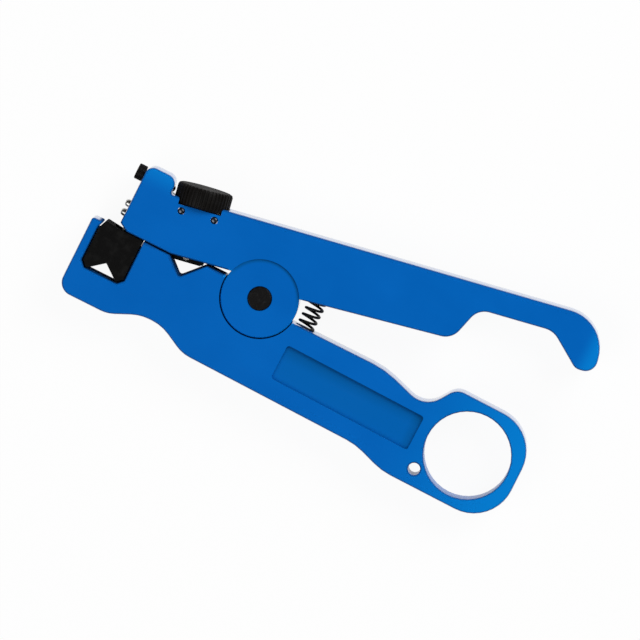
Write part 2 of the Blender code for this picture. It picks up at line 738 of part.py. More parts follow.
def cable_guide():
    left, right, floor, lip, foot = window_outline(GAP)
    top = JAW_LINE + GUIDE_RISE
    top_left = left + RIM_LIP * (top - lip) / LIP_DEPTH
    outline = rounded([
        (left, foot, 0),
        (left + WINDOW_CHAMFER, floor, 0),
        (SLIT_X - GUIDE_V_LEFT, floor, 0),
        (SLIT_X, GUIDE_APEX, GUIDE_V_R),
        (SLIT_X + GUIDE_V_RIGHT, floor, 0),
        (right - WINDOW_CHAMFER, floor, 0),
        (right, foot, 0),
        (right, JAW_LINE, LIP_R),
        (SLIT_X, JAW_LINE, 0),
        (top_left, top, LIP_R),
        (left, lip, 0),
    ])
    guide = plate([outline], -THICKNESS + GUIDE_RECESS, -GUIDE_RECESS)
    near = SLIT_X + BLADE_THICK / 2 + GAP
    far = SLIT_X - BLADE_THICK / 2 - GAP
    above = top + GAP
    way = [(near, floor), (near, above), (far - BLADE_SWING, above), (far, floor)]
    half = SLIT_BLADE_WIDTH / 2 + GAP
    cut(guide, plate([way], MID_Z - half, MID_Z + half))
    for wall, side in ((left, 1), (right, -1)):
        low, high = sorted((wall - side * GAP, wall + side * RIB_HEIGHT))
        groove = RIB_WIDTH / 2 + GAP
        cut(guide, box((low, foot - GAP, MID_Z - groove), (high, above, MID_Z + groove)))
    return smooth(settle(baked(guide), "cable_guide", JAW_AXES, BLACK))


# Slitting blade, clamped in the nose by a plate and two screws

def slit_blade():
    point = GUIDE_APEX - SLIT_BLADE_SHOW
    shoulder = point + SLIT_POINT
    half = SLIT_BLADE_WIDTH / 2
    outline = [(0, point), (half, shoulder), (half, CLAMP_HIGH), (-half, CLAMP_HIGH), (-half, shoulder)]
    blade = plate([outline], -BLADE_THICK / 2, BLADE_THICK / 2)
    chamfer(blade, BLADE_BEVEL, lambda edge: flat_edge_under(edge, shoulder + TINY))
    moved(blade, Matrix.Translation((SLIT_X, 0, MID_Z)) @ SIDEWAYS)
    cut(blade, *clamp_screw_holes())
    return settle(baked(blade), "slit_blade", HANDLE_AXES, STEEL)


def flat_edge_under(edge, height):
    """Whether an edge of a flat plate lies in one of its faces and under a height."""
    first, second = (vertex.co for vertex in edge.verts)
    return first.y < height and second.y < height and abs(first.z - second.z) < TINY


def slit_blade_clamp():
    half = SLIT_BLADE_WIDTH / 2
    clamp = box((CLAMP_FACE, CLAMP_LOW, MID_Z - half), (CLAMP_FACE + CLAMP_THICK, CLAMP_HIGH, MID_Z + half))
    cut(clamp, *clamp_screw_holes())
    return settle(baked(clamp), "slit_blade_clamp", HANDLE_AXES, BLACK_STEEL)


def clamp_screw(y, name):
    screw = turned([
        (0, CLAMP_SHANK),
        (CLAMP_SHANK_R, CLAMP_SHANK),
        (CLAMP_SHANK_R, CLAMP_FACE - SNUG - NOSE_FACE),
        (CLAMP_HEAD_R, CLAMP_FACE - SNUG - NOSE_FACE),
        (CLAMP_HEAD_R, CLAMP_FACE - SNUG - NOSE_FACE - CLAMP_HEAD + EDGE_BREAK),
        (CLAMP_HEAD_R - EDGE_BREAK, CLAMP_FACE - SNUG - NOSE_FACE - CLAMP_HEAD),
        (0, CLAMP_FACE - SNUG - NOSE_FACE - CLAMP_HEAD),
    ], 16)
    return smooth(settle(moved(screw, along_jaw(y)), name, HANDLE_AXES, STEEL))


# Depth knob with its grooved hub, the spindle and the pins that run in the groove

def knob_outline():
    pitch = 2 * pi / KNOB_RIBS
    crest, root = KNOB_R, KNOB_R - KNOB_RIB
    points = []
    for i in range(KNOB_RIBS):
        for share, radius in ((0.0, crest), (0.4, crest), (0.6, root), (0.8, root)):
            angle = (i + share) * pitch
            points.append((radius * cos(angle), radius * sin(angle)))
    return points


def depth_knob():
    knob = plate([knob_outline()], KNOB_LOW, KNOB_HIGH, KNOB_ROUND, 2)
    groove_r = HUB_R - PIN_BITE - GAP
    half = PIN_R + GAP
    hub = turned([
        (0, KNOB_LOW + KNOB_ROUND),
        (HUB_R, KNOB_LOW + KNOB_ROUND),
        (HUB_R, PIN_Y + half),
        (groove_r, PIN_Y + half),
        (groove_r, PIN_Y - half),
        (HUB_R, PIN_Y - half),
        (HUB_R, HUB_LOW),
        (0, HUB_LOW),
    ], 40)
    join(knob, hub)
    cut(knob, rod(SPINDLE_R + BORE_PLAY, HUB_LOW - GAP, KNOB_HIGH - KNOB_CAP, 24))
    return smooth(settle(moved(baked(knob), KNOB), "depth_knob", KNOB_AXES, BLACK))


def depth_spindle():
    foot = RING_BLADE_HIGH + GAP + KNOB_TRAVEL + GAP
    spindle = rod(SPINDLE_R, foot, KNOB_HIGH - KNOB_CAP - GAP, 24)
    return smooth(settle(moved(spindle, KNOB), "depth_spindle", KNOB_AXES, STEEL))


def knob_pin(x, name):
    pin = rod(PIN_R, -THICKNESS + GAP, -GAP, 16)
    return smooth(settle(moved(pin, Matrix.Translation((x, PIN_Y, 0))), name, HANDLE_AXES, STEEL))


# Ringing blade in its holder. The holder's foot keeps clear of the notch's flanks

def ring_blade_holder():
    half = HOLDER_WIDTH / 2
    left_foot = max(notch_edge(-1, HOLDER_LOW, GAP), KNOB_X - half)
    left_lip = max(notch_edge(-1, JAW_UNDER, GAP), KNOB_X - half)
    right_foot = min(notch_edge(1, HOLDER_LOW, GAP), KNOB_X + half)
    outline = [
        (left_foot, HOLDER_LOW),
        (right_foot, HOLDER_LOW),
        (KNOB_X + half, JAW_UNDER),
        (KNOB_X + half, HOLDER_HIGH),
        (KNOB_X - half, HOLDER_HIGH),
        (KNOB_X - half, JAW_UNDER + GAP),
        (left_lip, JAW_UNDER),
    ]
    holder = plate([outline], MID_Z - HOLDER_DEPTH / 2, MID_Z + HOLDER_DEPTH / 2)
    bore = rod(SPINDLE_R + BORE_PLAY, RING_BLADE_HIGH + GAP, HOLDER_HIGH + GAP, 24)
    moved(bore, Matrix.Translation((KNOB_X, 0, MID_Z)) @ UPRIGHT)
    slot_half = BLADE_THICK / 2 + SNUG
    slot = box((KNOB_X - half - GAP, RING_BLADE_LOW, MID_Z - slot_half),
               (KNOB_X + half + GAP, RING_BLADE_HIGH + SNUG, MID_Z + slot_half))
    front = MID_Z + HOLDER_DEPTH / 2
    seat = rod(RING_SCREW_HEAD_R + SNUG, front - RING_SCREW_HEAD - SNUG, front + GAP, 20)
    hole = rod(RING_SCREW_R + SNUG, MID_Z - HOLDER_DEPTH / 2 + GAP, front, 16)
    place = Matrix.Translation((KNOB_X, RING_SCREW_Y, 0))
    cut(holder, bore, slot, moved(seat, place), moved(hole, place))
    return smooth(settle(moved(baked(holder), HANDLE), "ring_blade_holder", KNOB_AXES, BLACK))


def ring_blade():
    left = max(notch_edge(-1, RING_BLADE_LOW, GAP), KNOB_X - HOLDER_WIDTH / 2)
    right = min(notch_edge(1, RING_BLADE_LOW, GAP), KNOB_X + HOLDER_WIDTH / 2)
    outline = [(left, RING_BLADE_LOW), (right, RING_BLADE_LOW),
               (right, RING_BLADE_HIGH), (left, RING_BLADE_HIGH)]
    blade = plate([outline], MID_Z - BLADE_THICK / 2, MID_Z + BLADE_THICK / 2)
    chamfer(blade, BLADE_BEVEL, lambda edge: flat_edge_under(edge, RING_BLADE_LOW + TINY))
    hole = rod(RING_SCREW_R + SNUG, -THICKNESS, 0, 16)
    cut(blade, moved(hole, Matrix.Translation((KNOB_X, RING_SCREW_Y, 0))))
    return settle(moved(baked(blade), HANDLE), "ring_blade", KNOB_AXES, BLACK_STEEL)


def ring_blade_screw():
    front = MID_Z + HOLDER_DEPTH / 2
    foot = MID_Z - HOLDER_DEPTH / 2 + 2 * GAP
    screw = turned([
        (0, front),
        (RING_SCREW_HEAD_R, front),
        (RING_SCREW_HEAD_R, front - RING_SCREW_HEAD),
        (RING_SCREW_R, front - RING_SCREW_HEAD),
        (RING_SCREW_R, foot),
        (0, foot),
    ], 16)
    moved(screw, HANDLE @ Matrix.Translation((KNOB_X, RING_SCREW_Y, 0)))
    return smooth(settle(screw, "ring_blade_screw", KNOB_AXES, STEEL))


# Click stop: a cap screw, a spring and a ball that bears on the knob's ribs

def ball_centre():
    """The ball's place along the bore, clear of the knob's rim."""
    rim_x = KNOB_X - KNOB_R
    along = (rim_x - DETENT_Y * sin(HANDLE_SPREAD)) / cos(HANDLE_SPREAD)
    return along - NOSE_FACE - GAP / cos(HANDLE_SPREAD) - DETENT_BALL_R / cos(HANDLE_SPREAD)


def detent_screw():
    screw = turned([
        (0, DETENT_SHANK),
        (DETENT_R, DETENT_SHANK),
        (DETENT_R, -SNUG),
        (DETENT_HEAD_R, -SNUG),
        (DETENT_HEAD_R, EDGE_BREAK - DETENT_HEAD),
        (DETENT_HEAD_R - EDGE_BREAK, -DETENT_HEAD),
        (0, -DETENT_HEAD),
    ], 28)
    cut(screw, hexagon(DETENT_HEX, -DETENT_HEAD - GAP, DETENT_HEX_DEPTH - DETENT_HEAD))
    return smooth(settle(moved(baked(screw), along_jaw(DETENT_Y)), "detent_screw", HANDLE_AXES, BLACK_STEEL))


def detent_spring():
    """The coil's last turn bears on the ball where the ball is as wide as the coil."""
    reach = (DETENT_BALL_R ** 2 - (DETENT_COIL_R - DETENT_WIRE) ** 2) ** 0.5
    high = ball_centre() - reach - SNUG
    spring = coil(DETENT_COIL_R, DETENT_WIRE, DETENT_SHANK + SNUG, high, DETENT_TURNS, 0.5, 8)
    return smooth(settle(moved(spring, along_jaw(DETENT_Y)), "detent_spring", HANDLE_AXES, STEEL))


def detent_ball():
    work = bmesh.new()
    bmesh.ops.create_uvsphere(work, u_segments=16, v_segments=10, radius=DETENT_BALL_R)
    mesh = bpy.data.meshes.new("ball")
    work.to_mesh(mesh)
    work.free()
    ball = bpy.data.objects.new("ball", mesh)
    bpy.context.scene.collection.objects.link(ball)
    moved(ball, along_jaw(DETENT_Y) @ Matrix.Translation((0, 0, ball_centre())))
    return smooth(settle(ball, "detent_ball", HANDLE_AXES, STEEL))


def seat_on_frames():
    """Shift each mesh from the world's axes to its frame's, so that pieces turn about their joints."""
    for obj in PARTS.objects:
        if obj.type == "MESH" and obj.parent is not JAW_AXES and obj.name != "upper_lever":
            obj.data.transform(obj.parent.matrix_world.inverted())


lower_lever()
upper_lever()
pivot_barrel()
pivot_screw()
return_spring()
cable_guide()
slit_blade()
slit_blade_clamp()
clamp_screw(CLAMP_SCREW_LOW, "clamp_screw_lower")
clamp_screw(CLAMP_SCREW_LOW + CLAMP_SCREW_PITCH, "clamp_screw_upper")
depth_knob()
depth_spindle()
for pin_x, pin_name in zip(pin_places(), ("knob_pin_left", "knob_pin_right")):
    moved(knob_pin(pin_x, pin_name), HANDLE)
ring_blade_holder()
ring_blade()
ring_blade_screw()
detent_screw()
detent_spring()
detent_ball()
bpy.context.view_layer.update()
seat_on_frames()
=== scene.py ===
"""Cable slitter: finishes, fine pieces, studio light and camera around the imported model.

Everything is in metres, in the model's own axes. The tool lies on its back, +Z out of its front
face, with the pivot's axis at the origin and +X along the lower lever. The camera looks down on
the front face.
"""

import json
from contextlib import contextmanager
from math import cos, pi, radians, sin

import bpy
from mathutils import Matrix, Vector

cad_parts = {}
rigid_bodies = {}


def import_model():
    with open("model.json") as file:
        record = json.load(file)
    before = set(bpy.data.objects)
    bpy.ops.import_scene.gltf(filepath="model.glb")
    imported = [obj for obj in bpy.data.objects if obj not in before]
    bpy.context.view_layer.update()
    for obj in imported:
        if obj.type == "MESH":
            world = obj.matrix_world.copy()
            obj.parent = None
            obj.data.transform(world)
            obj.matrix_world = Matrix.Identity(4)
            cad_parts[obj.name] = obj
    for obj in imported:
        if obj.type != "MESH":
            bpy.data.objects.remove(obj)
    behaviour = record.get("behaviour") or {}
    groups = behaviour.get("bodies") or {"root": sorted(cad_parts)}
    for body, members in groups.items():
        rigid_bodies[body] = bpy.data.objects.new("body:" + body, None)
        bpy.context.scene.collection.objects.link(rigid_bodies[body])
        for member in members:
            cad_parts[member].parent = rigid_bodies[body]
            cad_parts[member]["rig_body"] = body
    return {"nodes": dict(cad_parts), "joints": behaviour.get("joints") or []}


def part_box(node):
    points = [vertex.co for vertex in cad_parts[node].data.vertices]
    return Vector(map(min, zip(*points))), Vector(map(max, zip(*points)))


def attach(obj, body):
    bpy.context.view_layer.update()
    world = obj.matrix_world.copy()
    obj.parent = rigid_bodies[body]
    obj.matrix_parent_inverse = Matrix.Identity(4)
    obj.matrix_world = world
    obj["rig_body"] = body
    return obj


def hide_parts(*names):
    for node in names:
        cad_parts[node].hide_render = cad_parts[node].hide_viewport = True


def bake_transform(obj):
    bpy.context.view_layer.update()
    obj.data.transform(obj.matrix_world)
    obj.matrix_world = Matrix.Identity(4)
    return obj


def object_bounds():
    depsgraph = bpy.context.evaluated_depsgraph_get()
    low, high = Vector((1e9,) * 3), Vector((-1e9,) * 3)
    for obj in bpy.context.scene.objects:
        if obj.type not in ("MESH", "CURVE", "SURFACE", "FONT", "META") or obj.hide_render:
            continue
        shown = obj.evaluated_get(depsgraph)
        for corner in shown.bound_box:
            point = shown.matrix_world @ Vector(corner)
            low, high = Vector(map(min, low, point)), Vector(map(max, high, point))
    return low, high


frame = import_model()
cad_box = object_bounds()

MM = 0.001

# The photograph's frame: its side in pixels, the pivot's place there, the lower lever's turn, the
# size of a pixel, and how far the view leans to the right and up
PICTURE_SIDE = 640
PIVOT_AT = (259.54, 298.78)
LEVER_TURN = radians(26.5)
PIXEL = 0.2727 * MM
LEAN_RIGHT = 0.046
LEAN_UP = 0.078
CAMERA_DISTANCE = 2.5
CAMERA_REACH = 20
SENSOR = 36.0

# Studio: each lamp's place along the picture's right and up and above the tool, its size and power
LAMPS = (
    ("key", 0.75, 0.5, 0.8, 0.75, 11.3),
    ("fill", -0.6, -0.35, 0.85, 0.9, 6.8),
)
LAMPS_FACE = (0.018, 0, 0)
SKY_STRENGTH = 0.06
SHEET_SIDE = 3
SHEET_GLOW = 0.94

# Soft edges, the angles that softening, smoothing and flattening go by, and how many sides a
# turned piece has where nothing else asks for more
LEVER_EDGE = 0.28 * MM
LEVER_EDGE_STEPS = 3
GUIDE_EDGE = 0.15 * MM
HOLDER_EDGE = 0.1 * MM
PIVOT_EDGE = 0.08 * MM
EDGE_BREAK = 0.2 * MM
WELD = 0.002 * MM
SOFTEN_OVER = radians(40)
SMOOTH_UNDER = radians(32)
FLATTEN_UNDER = radians(0.3)
TURNED_SIDES = 64

# Depth knob: a rib and its hollow share some columns of the rim's mesh
KNOB_RIBS = 42
RIB_COLUMNS = 6
HOLLOW_COLUMNS = (2, 3, 4)
RIB_DEPTH = 0.42 * MM
KNOB_HEIGHT = 5.6 * MM
KNOB_ROUND = 0.8 * MM
ROUND_MIDDLE = KNOB_ROUND * 0.3
HUB_R = 4.2 * MM
HUB_GROOVE_R = 3.45 * MM
HUB_LIP = 0.7 * MM
KNOB_SMOOTH_UNDER = radians(28)

# Return spring
SPRING_WIRE = 0.75 * MM
SPRING_TURNS = 5.5
CLOSED_RISE = SPRING_WIRE * 1.06
WIRE_SIDES = 14
TURN_STEPS = 40
SPRING_SMOOTH_UNDER = radians(50)

# Cap screw on the horn
KNURLS = 36
KNURL_COLUMNS = 4
GROOVE_COLUMNS = (0, 1)
KNURL_DEPTH = 0.12 * MM
CAP_HEAD = 2.4 * MM
CAP_SHANK_R = 1.2 * MM
SOCKET_HALF_FLATS = 1.0 * MM
SOCKET_DEPTH = 1.2 * MM
CAP_SMOOTH_UNDER = radians(30)

# Blade clamp's screws: the head's profile in shares of its radius and height, and the cross in
# shares of the radius
PAN_HEAD = 1.6 * MM
PAN_PROFILE = ((0.45, 0), (0.74, 0.1), (0.92, 0.3), (1, 0.6), (1, 1))
PAN_SHANK_R = 0.6 * MM
PAN_SIDES = 40
CROSS_LENGTH = 1.1
CROSS_WIDTH = 0.3

# Cross pins: the domed end as shares of the radius, each with its depth below the top
PIN_DOME = ((1, 0.45 * MM), (0.86, 0.2 * MM), (0.5, 0.05 * MM), (0.2, 0))
PIN_SIDES = 48

# Places that the levers' finish follows: spans along an axis, or out from the pivot. Where a span
# is given to step(), the finish changes over from one end of it to the other
JAW_X = (-48.2 * MM, -11.5 * MM)
JAW_Y = (-16.0 * MM, 3.5 * MM)
UPPER_Y = (5.0 * MM, 12.0 * MM)
RING_LIGHT_X = (42.0 * MM, 95.0 * MM)
HOOK_LIGHT_X = (84.0 * MM, 89.0 * MM)
HORN_LIGHT_X = (-34.0 * MM, -30.0 * MM)
HORN_LIGHT_Y = (13.0 * MM, 20.0 * MM)
RECESS_X = (11.0 * MM, 55.5 * MM)
RECESS_NEAR_Y = (-19.55 * MM, -17.75 * MM)
RECESS_FAR_Y = (-13.0 * MM, -8.6 * MM)
RECESS_END_X = (51.0 * MM, 54.0 * MM)
RECESS_FLOOR_Z = (-1.1 * MM, -0.7 * MM)
DISC_EDGE = (10.3 * MM, 11.6 * MM)
DISC_FOOT_FROM = (9.5 * MM, 10.6 * MM)
DISC_FOOT_TO = (11.25 * MM, 11.5 * MM)
DISC_FOOT_Y = (1.0 * MM, 6.0 * MM)
DISC_FACE_Z = (-0.3 * MM, -0.1 * MM)
HOLE_EDGE = (0.3 * MM, 0.6 * MM)

# Holes by their middle and radius
RING_HOLE = (69.8 * MM, -13.0 * MM, 12.0 * MM)
CORD_HOLE = (58.48 * MM, -22.84 * MM, 1.7 * MM)

# How level a face is where a wall ends, painted edge shade starts and a rounded edge ends, and
# the direction towards which the painted edge shade is strongest
WALL_END = (0.15, 0.5)
EDGE_SHADE_START = (0.1, 0.3)
ROUNDED_END = (0.96, 0.998)
EDGE_SHADE_SIDE = (-0.317, -0.948)
EDGE_SHADE_SIDE_LEAN = (0.0, 0.4)

# The distance between the lathe's rings on the pivot's heads
LATHE_PITCH = 0.16 * MM

# Colours, as linear values
BLUE = (0.0004, 0.14, 0.55)
BLUE_DEEP = (0.0003, 0.124, 0.50)
BLUE_RECESS = (0.0004, 0.128, 0.47)
BLUE_SHADE = (0.0003, 0.085, 0.27)
BLUE_WALL_LIT = (0.001, 0.15, 0.54)
BLUE_JAW_SHADE = (0.0003, 0.05, 0.19)
BLUE_EDGE_SHADE = (0.0003, 0.04, 0.16)
BLUE_PAINTED_LIGHT = (0.0006, 0.235, 0.72)
BLUE_RIM_HIGHLIGHT = (0.01, 0.24, 0.62)
BLACK = (0.0030, 0.0029, 0.0029)
BLACK_KNOB = (0.0088, 0.0080, 0.0074)
BLACK_WORN = (0.010, 0.0098, 0.0095)
OXIDE = (0.0065, 0.0060, 0.0060)
OXIDE_WORN = (0.018, 0.017, 0.0165)
PIN_GREY = (0.10, 0.11, 0.13)
STEEL = (0.52, 0.52, 0.50)
STEEL_DULL = (0.36, 0.355, 0.34)
PAPER = (0.93, 0.93, 0.93)
PAPER_FIBRE = (0.9, 0.9, 0.9)
WHITE = (1, 1, 1, 1)


# Working on objects

def leave_all():
    """Leave edit mode and select nothing."""
    if bpy.context.object and bpy.context.object.mode != "OBJECT":
        bpy.ops.object.mode_set(mode="OBJECT")
    bpy.ops.object.select_all(action="DESELECT")


def take(piece):
    """Select one piece alone and make it the active one."""
    leave_all()
    piece.select_set(True)
    bpy.context.view_layer.objects.active = piece
    return piece


@contextmanager
def editing(piece, kind="VERT"):
    """Edit mode on one piece, with all of it selected."""
    take(piece)
    bpy.ops.object.mode_set(mode="EDIT")
    bpy.ops.mesh.select_mode(type=kind)
    bpy.ops.mesh.select_all(action="SELECT")
    yield
    bpy.ops.object.mode_set(mode="OBJECT")


def pick(piece, wanted):
    """Select, in edit mode, the vertices of a piece for whose place wanted() holds."""
    bpy.ops.mesh.select_all(action="DESELECT")
    bpy.ops.object.mode_set(mode="OBJECT")
    for vertex in piece.data.vertices:
        vertex.select = wanted(vertex.co)
    bpy.ops.object.mode_set(mode="EDIT")


def sunk(piece, wanted, radius, depth):
    """Scale the picked vertices towards the Z axis, so that those at a radius sink by a depth."""
    with editing(piece):
        pick(piece, wanted)
        share = 1 - depth / radius
        bpy.ops.transform.resize(value=(share, share, 1), center_override=(0, 0, 0))


def named(name):
    """Name the object that was just added, and its data."""
    piece = bpy.context.object
    piece.name = name
    piece.data.name = name
    return piece


def applied(piece, kind, **settings):
    """Add a modifier with its settings and apply it."""
    take(piece)
    step = piece.modifiers.new(kind.title(), kind)
    for key, value in settings.items():
        setattr(step, key, value)
    bpy.ops.object.modifier_apply(modifier=step.name)
    return piece


def placed(piece, place=Matrix.Identity(4)):
    """Write the place of a piece into its mesh."""
    piece.data.transform(place @ piece.matrix_world)
    piece.matrix_world = Matrix.Identity(4)
    return piece


def smoothed(piece, angle=SMOOTH_UNDER):
    """Shade a piece smooth, apart from its sharp edges."""
    take(piece)
    bpy.ops.object.shade_smooth_by_angle(angle=angle)
    return applied(piece, "WEIGHTED_NORMAL", keep_sharp=True, weight=60)


def joined(first, *others):
    """One piece of several."""
    take(first)
    for other in others:
        other.select_set(True)
    bpy.ops.object.join()
    return first


def turned(name, profile, sides=TURNED_SIDES):
    """A piece turned about Z: a disc that is extruded and scaled from step to step, upwards."""
    leave_all()
    (radius, height), *steps = profile
    bpy.ops.mesh.primitive_circle_add(vertices=sides, radius=radius, fill_type="NGON",
                                      location=(0, 0, height))
    piece = placed(named(name))
    with editing(piece, "FACE"):
        for wide, high in steps:
            rise = (0, 0, high - height)
            bpy.ops.mesh.extrude_region_move(TRANSFORM_OT_translate={"value": rise})
            share = wide / radius
            bpy.ops.transform.resize(value=(share, share, 1), center_override=(0, 0, high))
            radius, height = wide, high
    with editing(piece):
        bpy.ops.mesh.remove_doubles(threshold=WELD)
        bpy.ops.mesh.normals_make_consistent(inside=False)
    return piece


def hollowed(piece, cutter):
    """Cut one piece's shape out of another."""
    applied(piece, "BOOLEAN", operation="DIFFERENCE", solver="EXACT", object=cutter)
    bpy.data.objects.remove(cutter)


def lifted(node, name):
    """A welded copy of a solid's skin, to be finished as a piece of its own."""
    piece = bpy.data.objects.new(name, frame["nodes"][node].data.copy())
    piece.data.name = name
    piece.data.materials.clear()
    bpy.context.scene.collection.objects.link(piece)
    with editing(piece):
        bpy.ops.mesh.remove_doubles(threshold=WELD)
        bpy.ops.mesh.dissolve_limited(angle_limit=FLATTEN_UNDER)
    return piece


def softened(piece, width, segments=2):
    """Round the edges that a mould or a tumbler leaves soft."""
    return applied(piece, "BEVEL", width=width, segments=segments, limit_method="ANGLE",
                   angle_limit=SOFTEN_OVER, miter_outer="MITER_ARC", use_clamp_overlap=True,
                   harden_normals=False)


def coated(piece, finish):
    """Give a piece its finish, and no other."""
    piece.data.materials.clear()
    piece.data.materials.append(finish)


def stands_for(piece, node, finish):
    """A finished piece rides on the body of the solid that it stands for."""
    coated(piece, finish)
    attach(piece, frame["nodes"][node]["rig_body"])
    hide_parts(node)


# Places of the model's own pieces

def knob_axes():
    """The knob's place: Z runs along the axis that it turns about."""
    joint = next(joint for joint in frame["joints"] if joint["name"] == "knob_turn")
    along = Vector(joint["axis"]).normalized()
    side = Vector((0, 0, 1)).cross(along).normalized()
    place = Matrix((side, along.cross(side), along)).transposed().to_4x4()
    place.translation = Vector(joint["pos_m"])
    return place


def box_in(node, place):
    """A solid's box in other axes than the model's."""
    back = place.inverted()
    points = [back @ vertex.co for vertex in frame["nodes"][node].data.vertices]
    low = Vector([min(point[i] for point in points) for i in range(3)])
    high = Vector([max(point[i] for point in points) for i in range(3)])
    return low, high


def pointing_x(node):
    """A screw that points along +X: its place, from its head's outer face, length and radius."""
    low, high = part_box(node)
    place = Matrix.Rotation(pi / 2, 4, "Y")
    place.translation = (low.x, (low.y + high.y) / 2, (low.z + high.z) / 2)
    return place, high.x - low.x, (high.y - low.y) / 2


# Shader maths

class Wire:
    """A socket of a finish that can be used in sums."""

    def __init__(self, finish, socket):
        self.finish = finish
        self.socket = socket

    def maths(self, operation, first, second):
        return self.finish.node("ShaderNodeMath", {"operation": operation}, {0: first, 1: second})

    def __add__(self, other):
        return self.maths("ADD", self, other)

    __radd__ = __add__

    def __mul__(self, other):
        return self.maths("MULTIPLY", self, other)

    __rmul__ = __mul__

    def __sub__(self, other):
        return self.maths("SUBTRACT", self, other)

    def __rsub__(self, other):
        return self.maths("SUBTRACT", other, self)

    def __abs__(self):
        return self.maths("ABSOLUTE", self, 0.0)


class Finish:
    """A material with its Principled shader and the nodes that feed it."""

    def __init__(self, name, metallic=0.0, roughness=0.5, specular=0.5):
        self.material = bpy.data.materials.new(name)
        self.material.use_nodes = True
        self.nodes = self.material.node_tree.nodes
        self.links = self.material.node_tree.links
        self.shader = self.nodes["Principled BSDF"]
        self.shader.inputs["Metallic"].default_value = metallic
        self.shader.inputs["Roughness"].default_value = roughness
        self.shader.inputs["Specular IOR Level"].default_value = specular
        self.at = self.node("ShaderNodeTexCoord", {}, {}, "Object")
        self.normal = self.node("ShaderNodeTexCoord", {}, {}, "Normal")
        self.x, self.y, self.z = (
            self.node("ShaderNodeSeparateXYZ", {}, {0: self.at}, axis) for axis in "XYZ")

    def node(self, kind, settings, inputs, output=0):
        """Any node: its type, its settings, and its sockets' values or links. Gives one output."""
        made = self.nodes.new(kind)
        for key, value in settings.items():
            setattr(made, key, value)
        for key, value in inputs.items():
            if isinstance(value, Wire):
                self.links.new(value.socket, made.inputs[key])
            else:
                made.inputs[key].default_value = value
        return Wire(self, made.outputs[output])

    def noise(self, scale, detail=2.0, stretch=(1, 1, 1), roughness=0.5):
        """Noise on the piece's own axes. The scale is in patches for each metre."""
        sockets = {"Vector": self.at, "Scale": stretch}
        at = self.node("ShaderNodeMapping", {}, sockets, "Vector")
        sockets = {"Vector": at, "Scale": scale, "Detail": detail, "Roughness": roughness}
        return self.node("ShaderNodeTexNoise", {}, sockets)

    def patches(self, scale, detail, low, high, stretch=(1, 1, 1), roughness=0.5):
        """Noise as patches: 0 where it is below low, 1 where it is above high."""
        return self.step(self.noise(scale, detail, stretch, roughness), low, high)

    def distance(self, x=0.0, y=0.0):
        """The distance from an upright axis: the pivot's own, unless a place is given."""
        flat = self.node("ShaderNodeCombineXYZ", {}, {0: self.x - x, 1: self.y - y})
        return self.node("ShaderNodeVectorMath", {"operation": "LENGTH"}, {0: flat}, "Value")

    def facing(self):
        """1 on a face that looks straight up or down, 0 on an upright wall."""
        return abs(self.node("ShaderNodeSeparateXYZ", {}, {0: self.normal}, "Z"))

    def lean(self, x, y):
        """How far a face looks in a level direction: 1 straight that way, -1 away from it."""
        sockets = {0: self.normal, 1: (x, y, 0)}
        return self.node("ShaderNodeVectorMath", {"operation": "DOT_PRODUCT"}, sockets, "Value")

    def step(self, value, low, high):
        """0 below low, 1 above high, smooth between."""
        sockets = {"Value": value, "From Min": low, "From Max": high}
        settings = {"interpolation_type": "SMOOTHSTEP"}
        return self.node("ShaderNodeMapRange", settings, sockets, "Result")

    def between(self, value, low, high, soft):
        """1 from low to high, fading out over a soft stretch past both."""
        return self.step(value, low - soft, low) * (1 - self.step(value, high, high + soft))

    def box(self, along, across, soft):
        """1 inside a box in plan."""
        return self.between(self.x, *along, soft) * self.between(self.y, *across, soft)

    def hole(self, x, y, radius):
        """1 inside a round hole in plan and on its wall."""
        return 1 - self.step(self.distance(x, y), *(radius + margin for margin in HOLE_EDGE))

    def mix(self, factor, first, second):
        """A colour between two, each a Wire or three numbers."""
        first, second = (value if isinstance(value, Wire) else (*value, 1.0)
                         for value in (first, second))
        sockets = {0: factor, 6: first, 7: second}
        return self.node("ShaderNodeMix", {"data_type": "RGBA"}, sockets, 2)

    def bump(self, height, depth, strength, under=None):
        """A normal for fine relief, on top of another one if that is given."""
        sockets = {"Height": height, "Distance": depth, "Strength": strength}
        if under is not None:
            sockets["Normal"] = under
        return self.node("ShaderNodeBump", {}, sockets, "Normal")

    def feed(self, **wires):
        """Link wires to the shader's sockets of the same names."""
        for key, wire in wires.items():
            self.links.new(wire.socket, self.shader.inputs[key.replace("_", " ").title()])
        return self.material


# Finishes

